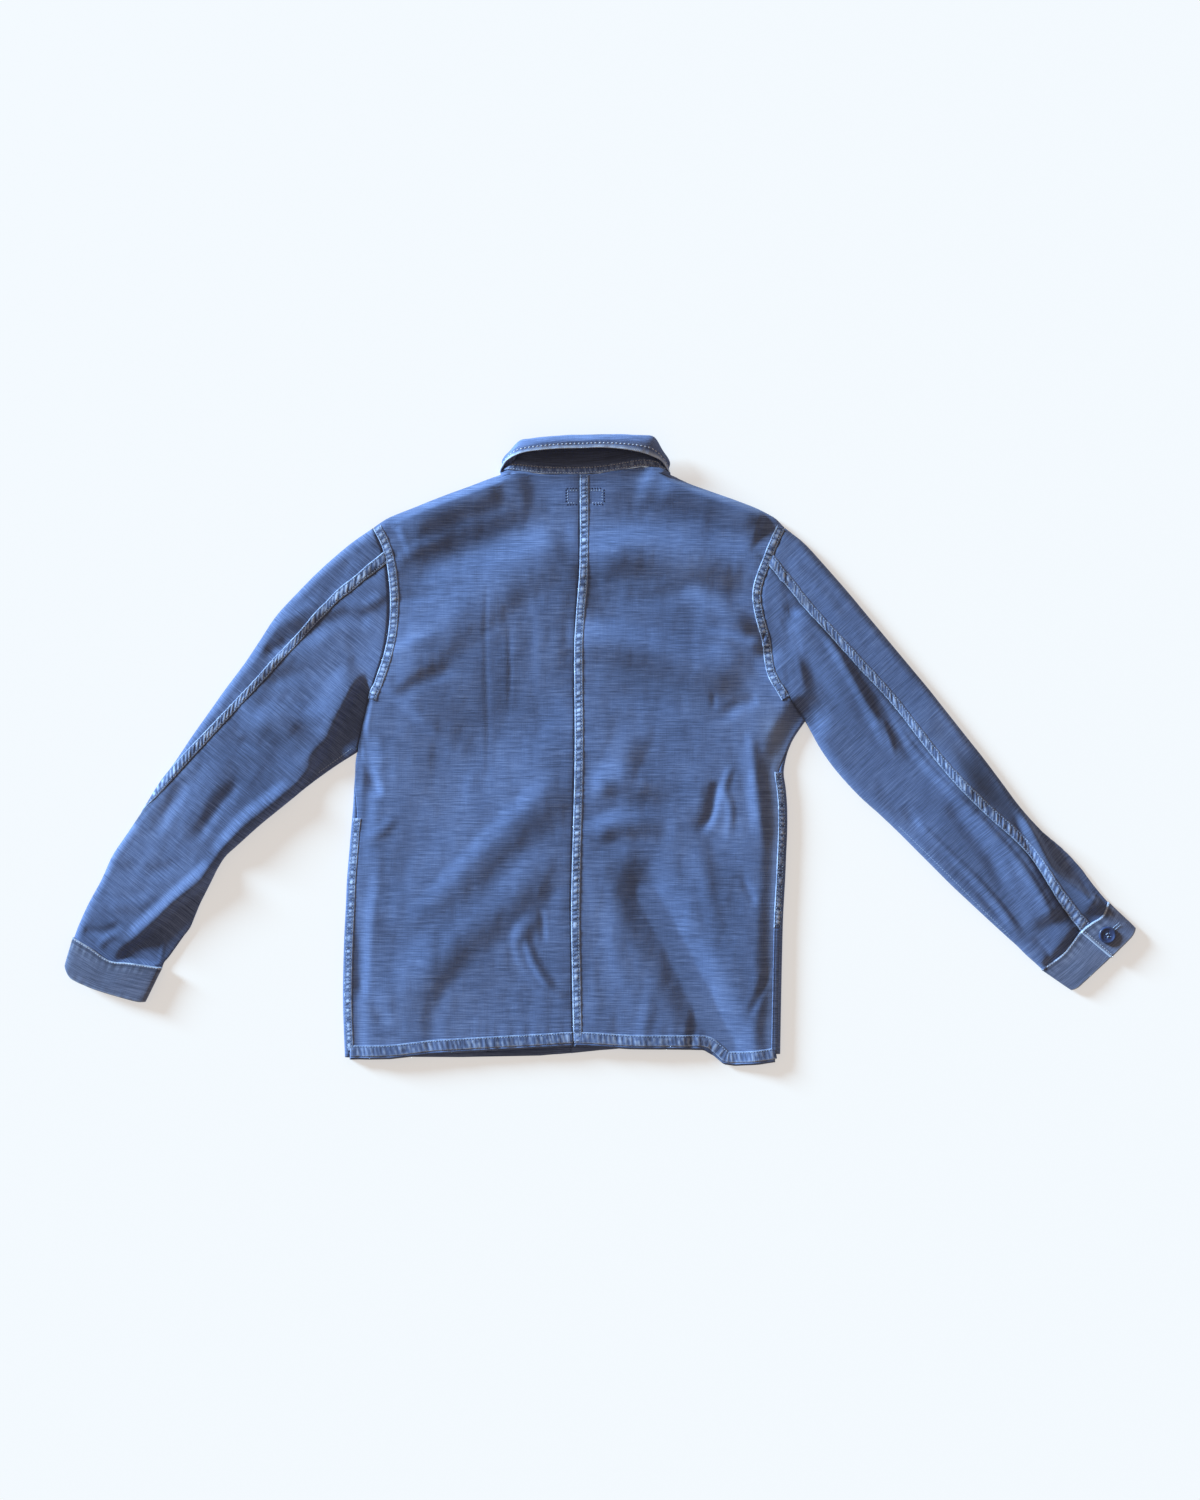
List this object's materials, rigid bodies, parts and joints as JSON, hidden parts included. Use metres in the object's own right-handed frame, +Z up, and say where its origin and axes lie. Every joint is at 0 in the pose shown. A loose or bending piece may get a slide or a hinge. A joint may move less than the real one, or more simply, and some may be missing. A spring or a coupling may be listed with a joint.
{
  "type": "work jacket",
  "caption": "Unlined cotton work jacket laid flat, back up: seamed back, two-piece sleeves, buttoned cuffs, stand-and-fall collar.",
  "frame": {"origin": "on the surface the jacket lies on, under the middle of its bounding box", "axes": "+X towards the sleeve at the right of the picture, +Y towards the collar, +Z up, out of the jacket's back"},
  "size_m": [1.2496, 0.7262, 0.0293],
  "materials": {
    "cloth": "matte washed slub cotton",
    "button": "satin"
  },
  "bodies": {
    "root": {"back_left": "cloth", "back_right": "cloth", "front_left": "cloth", "front_right": "cloth", "sleeve_left_top": "cloth", "sleeve_left_under": "cloth", "sleeve_right_top": "cloth", "sleeve_right_under": "cloth", "cuff_left": "cloth", "cuff_right": "cloth", "collar_stand": "cloth", "collar_fall": "cloth", "button_front_1": "button", "button_front_2": "button", "button_front_3": "button", "button_front_4": "button", "button_front_5": "button", "button_cuff_left": "button", "button_cuff_right": "button"}
  },
  "joints": []
}
